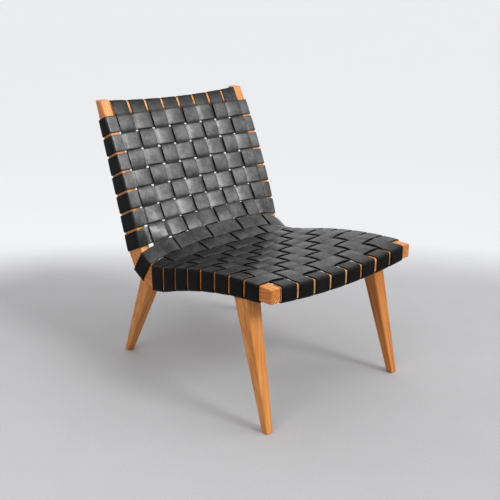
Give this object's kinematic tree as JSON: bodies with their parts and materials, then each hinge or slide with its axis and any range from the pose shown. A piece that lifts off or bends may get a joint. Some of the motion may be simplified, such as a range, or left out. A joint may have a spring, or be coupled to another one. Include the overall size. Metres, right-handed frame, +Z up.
{
  "type": "woven strap lounge chair",
  "caption": "Armless lounge chair with a curved wooden frame, raked tapered legs, and a seat and back woven from flat leather straps wrapped round the frame.",
  "frame": {"origin": "on the floor, under the middle of the chair's bounding box", "axes": "+Z up, -Y to the front where the sitter's knees are, +X to the right as seen from the front"},
  "size_m": [0.5466, 0.7534, 0.78],
  "materials": {
    "frame_wood": "honey-coloured hardwood, satin oil and varnish",
    "strap_leather": "smooth black saddle leather, semi-matte, cut edges dyed black",
    "bolt_steel": "zinc-plated, satin",
    "dowel_wood": "bare beech"
  },
  "bodies": {
    "root": {"front_left_leg": "frame_wood", "front_left_leg_bolt_front": "bolt_steel", "front_left_leg_bolt_rear": "bolt_steel", "rear_left_leg": "frame_wood", "rear_left_leg_bolt_front": "bolt_steel", "rear_left_leg_bolt_rear": "bolt_steel", "corner_dowel_left_upper": "dowel_wood", "corner_dowel_left_lower": "dowel_wood", "seat_rail_left": "frame_wood", "back_post_left": "frame_wood", "front_right_leg": "frame_wood", "front_right_leg_bolt_front": "bolt_steel", "front_right_leg_bolt_rear": "bolt_steel", "rear_right_leg": "frame_wood", "rear_right_leg_bolt_front": "bolt_steel", "rear_right_leg_bolt_rear": "bolt_steel", "corner_dowel_right_upper": "dowel_wood", "corner_dowel_right_lower": "dowel_wood", "seat_rail_right": "frame_wood", "back_post_right": "frame_wood", "front_rail": "frame_wood", "top_rail": "frame_wood", "rear_stretcher": "frame_wood", "lengthwise_strap_01": "strap_leather", "lengthwise_strap_02": "strap_leather", "lengthwise_strap_03": "strap_leather", "lengthwise_strap_04": "strap_leather", "lengthwise_strap_05": "strap_leather", "lengthwise_strap_06": "strap_leather", "lengthwise_strap_07": "strap_leather", "lengthwise_strap_08": "strap_leather", "crosswise_strap_01": "strap_leather", "crosswise_strap_02": "strap_leather", "crosswise_strap_03": "strap_leather", "crosswise_strap_04": "strap_leather", "crosswise_strap_05": "strap_leather", "crosswise_strap_06": "strap_leather", "crosswise_strap_07": "strap_leather", "crosswise_strap_08": "strap_leather", "crosswise_strap_09": "strap_leather", "crosswise_strap_10": "strap_leather", "crosswise_strap_11": "strap_leather", "crosswise_strap_12": "strap_leather", "crosswise_strap_13": "strap_leather", "crosswise_strap_14": "strap_leather", "crosswise_strap_15": "strap_leather", "crosswise_strap_16": "strap_leather"}
  },
  "joints": []
}
